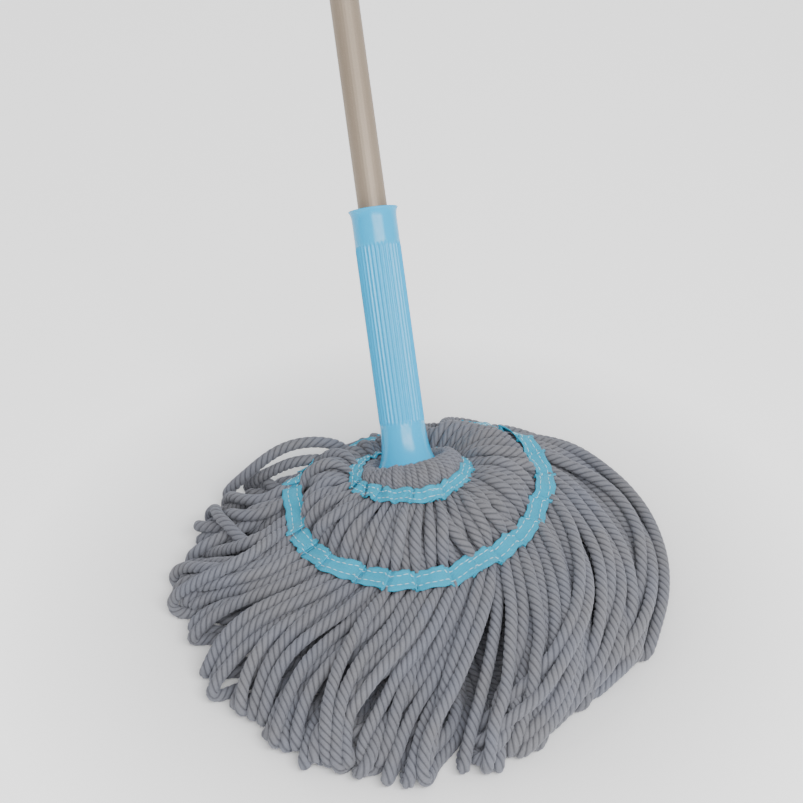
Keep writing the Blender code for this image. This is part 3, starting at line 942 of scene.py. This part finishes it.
def lay_tape(
    name, ring, outward, width, start, pleats, fold, columns=11, wave=0.0, waves=0, droop=0.0008, slant=0.0,
    pillow=0.0, skew=0.0,
):
    """A tape round a ring: outward is its normal at each point, and its ends meet at the share start."""
    along = ring_along(ring)
    outward = unit(outward - (outward * along).sum(1, keepdims=True) * along)
    across = np.cross(outward, along)
    steps = np.linalg.norm(np.roll(ring, -1, 0) - ring, axis=1)
    run = np.concatenate([[0], np.cumsum(steps)])
    total = run[-1]
    places, lift, uv_along = pleated(total + OVERLAP, pleats, fold)
    marks = np.concatenate([[0.0], pleats, [total + OVERLAP]])
    between = np.interp(places, marks, np.arange(len(marks))) % 1.0
    lift = lift + pillow * np.sin(math.pi * between)
    v = np.linspace(-0.5, 0.5, columns) * width
    grid = np.zeros((len(places), columns, 3))
    share = 2 * v / width
    for j in range(columns):
        at = (start * total + places + slant * v[j] * np.sin(places * 260.0)) % total
        base, n, w = (at_run(at, run, np.vstack([x, x[:1]])) for x in (ring, outward, across))
        ripple = wave * np.sin(2 * math.pi * waves * places / total + 0.9 * share[j])
        finer = np.sin(2 * math.pi * 1.7 * waves * places / total + 2.1 - 1.3 * share[j])
        ripple = ripple + 0.5 * wave * finer
        edge = 0.0004 * np.sin(places * 610 + 3 * share[j]) * abs(share[j])
        aside = v[j] + edge + skew * (between - 0.5)
        grid[:, j] = base + n * (lift + ripple - droop * share[j] ** 2)[:, None] + w * aside[:, None]
    made, top, normal = shell(name, grid, TAPE_HALF, uv_along, v, MATERIALS["webbing"])
    return made, top, normal, float(uv_along[-1])


def band_course(band, at, proud):
    """A band's ring, proud of the strands' middles, and its normal, square to ring and strands."""
    turns = (np.arange(STRANDS) + 0.5) * 2 * math.pi / STRANDS - math.pi
    middle = np.array([band(turn) for turn in turns])
    direction = unit(lines[:, at + 2] - lines[:, at - 2])
    ring = blurred(spaced(np.vstack([middle, middle[:1]]), RING_POINTS + 1)[:-1], RING_ROUNDS)
    nearest = np.argmin(((ring[:, None] - middle[None]) ** 2).sum(2), axis=1)
    normal = unit(np.cross(unit(blurred(direction[nearest], FLOW_ROUNDS)), ring_along(ring)))
    if normal[:, 2].mean() < 0:
        normal = -normal
    return ring + normal * proud, normal


def pleat_places(ring, spacing, end_gap, start, middle, reach):
    """Where a tape's pleats fall: none near its end, and only within reach of the middle of its ring."""
    length = length_of(np.vstack([ring, ring[:1]]))
    pleats = np.cumsum(RNG.uniform(*spacing, 60))
    pleats = pleats[pleats < length - end_gap]
    return pleats[np.abs((start + pleats / length) % 1 - middle) < reach]


def add_tape(kind, body, course, width, start, pleats, fold, seams, thread, held, rests_on, **shape):
    """A tape and its rows of stitches, in place of the CAD's band. thread is dash, gap and radius."""
    tape, top, up, cut = lay_tape(f"{kind}_tape", *course, width, start, pleats, fold, **shape)
    seam = stitches(f"{kind}_stitches", top, up, seams, *thread)
    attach(tape, body)
    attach(seam, body)
    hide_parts(f"{kind}_band")


# ---- the sleeve
FLUTES = 34
FLUTES_FROM, FLUTES_TO = 0.0330, 0.1685  # from the bell's rim
FLUTE_DEPTH = 0.0008
FLUTE_STEP, PLAIN_STEP = 0.0011, 0.0006  # between the outline's rows, at the flutes and elsewhere
SLEEVE_LENGTH = 0.195  # of the outline below, which is radius and height in millimetres


def sleeve():
    """The sleeve: a flared lip, a smooth band, flutes with round ends, and the smooth bell."""
    low, high = along_pole("wring_sleeve")
    outside = [
        (20.8, 0.0), (22.1, 0.1), (22.8, 0.55), (22.9, 1.1), (22.6, 2.0), (21.8, 3.4), (20.8, 5.2),
        (19.7, 7.8), (18.75, 11.0), (18.1, 14.5), (17.55, 18.5), (17.15, 23.0), (16.95, 28.0), (16.9, 33.0),
        (16.9, 60.0), (16.95, 100.0), (17.0, 140.0), (17.0, 168.0), (17.0, 186.0), (17.15, 189.5),
        (17.5, 191.8), (18.1, 193.4), (18.65, 194.3), (18.85, 194.75), (18.6, 195.0),
    ]
    inside = [
        (17.9, 194.6), (17.0, 193.2), (16.2, 191.6), (15.4, 189.0), (14.95, 185.0), (14.9, 120.0),
        (14.9, 26.0), (15.4, 17.0), (16.5, 12.0), (18.2, 6.0), (19.8, 1.6), (20.8, 0.0),
    ]
    outline = np.array([(r, h, 0) for r, h in outside]) / 1000
    ends = with_ends(outline)
    rows = []
    for a, b, c, d in zip(ends, ends[1:], ends[2:], ends[3:]):
        length = np.linalg.norm(c - b)
        step = FLUTE_STEP if FLUTES_FROM - 0.006 < b[1] < FLUTES_TO + 0.006 else PLAIN_STEP
        t = np.linspace(0, 1, max(2, int(length / step)), endpoint=False)[:, None]
        rows.append(b + (c - b) * t if length > 0.009 else curve_piece(a, b, c, d, t))
    rows = np.vstack(rows + [outline[-1:]])
    fluted = len(rows)
    rows = np.vstack([rows, np.array([(r, h, 0) for r, h in inside]) / 1000])
    around_count = FLUTES * 8
    angle = np.arange(around_count) * 2 * math.pi / around_count
    groove = np.sin(angle * FLUTES / 2) ** 2  # 0 on a rib, 1 in the middle of a flute
    r, h = rows[:, 0:1], rows[:, 1:2]
    arch = 0.0016 * (1 - np.sqrt(np.clip(groove, 0, 1)))[None, :]
    inside_flutes = ease(h - arch, FLUTES_FROM, FLUTES_FROM + 0.0012)
    inside_flutes = inside_flutes * ease(-h - arch, -FLUTES_TO, -FLUTES_TO + 0.0012)
    depth = FLUTE_DEPTH * np.clip(1.15 * groove**0.65, 0, 1)[None, :] * inside_flutes
    depth[fluted:] = 0
    rib = 0.00012 * (1 - groove[None, :]) * inside_flutes
    rib[fluted:] = 0
    points = at_pole(angle[None, :] + 0 * r, r - depth + rib, low + h * (high - low) / SLEEVE_LENGTH)
    faces = grid_faces(len(rows), around_count, closed_columns=True)
    made = make_object("sleeve_fluted", points.reshape(-1, 3), faces[:, ::-1], MATERIALS["blue_plastic"])
    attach(made, "wring_sleeve")
    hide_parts("wring_sleeve")


# ---- camera, floor and lights
ELEVATION = math.radians(40.0)
DISTANCE = 1.2725
LENS = 76.2
AIM_RIGHT = -0.0183  # the view's centre, from where the pole meets the floor
AIM_UP = 0.1463
FLOOR_HALF = 30.0


def add_camera():
    forward = np.array([0, math.cos(ELEVATION), -math.sin(ELEVATION)])
    up = np.array([0, math.sin(ELEVATION), math.cos(ELEVATION)])
    data = bpy.data.cameras.new("camera")
    data.lens = LENS
    data.sensor_width = 36
    camera = link("camera", data)
    place = FLOOR_POINT - DISTANCE * forward + AIM_RIGHT * np.array([1.0, 0, 0]) + AIM_UP * up
    camera.matrix_world = Matrix.Translation(Vector(place)) @ Matrix(
        ((1, 0, 0), tuple(up), tuple(-forward))
    ).transposed().to_4x4()
    bpy.context.scene.camera = camera


def add_area(name, place, target, size, power, colour=(1, 1, 1)):
    data = bpy.data.lights.new(name, "AREA")
    data.shape = "RECTANGLE"
    data.size, data.size_y = size
    data.energy = power
    data.color = colour
    light = link(name, data)
    light.location = place
    light.rotation_euler = (Vector(target) - Vector(place)).to_track_quat("-Z", "Y").to_euler()


def add_stage():
    corners = [(x * FLOOR_HALF, y * FLOOR_HALF, FLOOR) for x, y in ((-1, -1), (1, -1), (1, 1), (-1, 1))]
    m = Nodes("pale_floor")
    cloud = m.noise(m.coords(), 0.8, 2.0)
    m.set(Base_Color=m.mix(cloud, rgb(0.90, 0.90, 0.90), rgb(0.92, 0.92, 0.92)), Roughness=0.85)
    # painted light: the floor glows by emission, fading to none within 0.17 m of the head, a painted shadow round
    # it
    from_head = m.add("ShaderNodeVectorMath", {0: m.coords(), 1: tuple(FLOOR_POINT)}, operation="DISTANCE")
    painted_glow = m.ramp(from_head.outputs["Value"], 0.17, 0.32, 0.0, 0.8)
    m.set(Emission_Color=rgb(1.0, 1.0, 1.0), Emission_Strength=painted_glow)
    floor = make_object("floor", corners, np.array([[0, 1, 2, 3]]), m.made, smooth=False)
    studio = Nodes("studio", bpy.data.worlds, "Background")
    sky = studio.add("ShaderNodeTexCoord").outputs["Generated"]
    side = studio.add("ShaderNodeSeparateXYZ", {"Vector": sky}).outputs["X"]
    # the studio is a little darker on the left
    studio.set(Color=rgb(1.0, 1.0, 1.0), Strength=studio.ramp(side, -1.0, 0.6, 0.46, 0.94))
    bpy.context.scene.world = studio.made
    bell = tuple(at_pole(0, 0, along_pole("wring_sleeve")[0]))
    add_area("key", (0.42, -1.05, 1.40), bell, (1.70, 0.50), 38)
    add_area("fill", (-1.5, -0.7, 0.9), bell, (0.9, 1.4), 0.8)
    add_area("rim", (-0.2, 1.7, 1.5), bell, (1.2, 0.6), 5)


# ---- build
add_camera()
add_stage()

lines = soften(settle(lay_strands(), strand_radii(), ROUNDS))

for number in range(STRANDS):
    name = f"strand_loop_{number + 1:03d}"
    loop, dense = cords_object(name, [section(lines, number, 2)], thickness(2, LOOP_POINTS), CORD_STEP)
    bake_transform(loop)
    sector = int(((number + 0.5) / STRANDS * 12 + 6) % 12) + 1
    if number % PER_SECTOR == 0:
        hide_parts(f"lower_bundle_{sector:02d}")

for group in range(12):
    members = range(group * PER_SECTOR, (group + 1) * PER_SECTOR)
    sector = (group + 6) % 12 + 1
    parts = [section(lines, n, 1) for n in members]
    mound, _ = cords_object(f"strand_mound_{group + 1:02d}", parts, thickness(1, MOUND_POINTS), CORD_STEP)
    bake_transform(mound)
    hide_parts(f"upper_bundle_{sector:02d}")
    parts = [section(lines, n, 3) for n in members]
    name = f"strand_return_{group + 1:02d}"
    back, _ = cords_object(name, parts, thickness(3, RETURN_POINTS), RETURN_STEP, RETURN_VERTS)
    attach(back, "pole_lower")
    if group == 0:
        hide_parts("strand_root_ring")

parts = [section(lines, n, 0) for n in range(STRANDS)]
radii = thickness(0, UPPER_POINTS)
ruffle, _ = cords_object("strand_ruffle", parts, radii, RUFFLE_STEP, RUFFLE_VERTS, RUFFLE_LAY)
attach(ruffle, "wring_sleeve")
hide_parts("yarn_collar")

course = band_course(outer_band, STARTS[2], 0.0057)
pleats = pleat_places(course[0], spacing=(0.018, 0.030), end_gap=0.012, start=0.305, middle=0.5, reach=0.46)
add_tape(
    "outer", "sleeve_guide", course, width=0.0152, start=0.305, pleats=pleats, fold=0.0046, seams=(2.9, 7.6),
    thread=(0.0038, 0.0013, 0.00027), held="gathered", rests_on="strand_mound_01", wave=0.0006, waves=19,
    droop=-0.0010, slant=0.22, pillow=0.0008, skew=0.0024,
)
course = band_course(lambda turn: inner_band(turn)[0], STARTS[1], 0.0056)
pleats = pleat_places(course[0], spacing=(0.010, 0.017), end_gap=0.008, start=0.30, middle=0.41, reach=0.37)
add_tape(
    "inner", "wring_sleeve", course, width=0.0108, start=0.30, pleats=pleats, fold=0.0026, seams=(2.2, 5.8),
    thread=(0.0030, 0.0012, 0.00025), held="gathered", rests_on="strand_ruffle", columns=9, wave=0.0009,
    waves=17, droop=-0.0007, slant=0.3, pillow=0.0005, skew=0.0015,
)
azimuth = np.arange(RING_POINTS) * 2 * math.pi / RING_POINTS - math.pi
course = (
    on_floor(azimuth, UNDER_BAND_R, 0.0013 + 0.0002 * np.sin(11 * azimuth)),
    np.tile([0, 0, 1.0], (RING_POINTS, 1)),
)
add_tape(
    "under", "pole_lower", course, width=0.0122, start=0.6, pleats=[0.2, 0.45, 0.62], fold=0.004,
    seams=(2.1, 7.9), thread=(0.0032, 0.0017, 0.00042), held="laid", rests_on="strand_return_01",
    droop=0.0002,
)

sleeve()

for subpart in frame["record"]["subparts"]:
    node = frame["nodes"][subpart["node"]]
    node.data.materials.clear()
    node.data.materials.append(MATERIALS[subpart["material_slot"]])
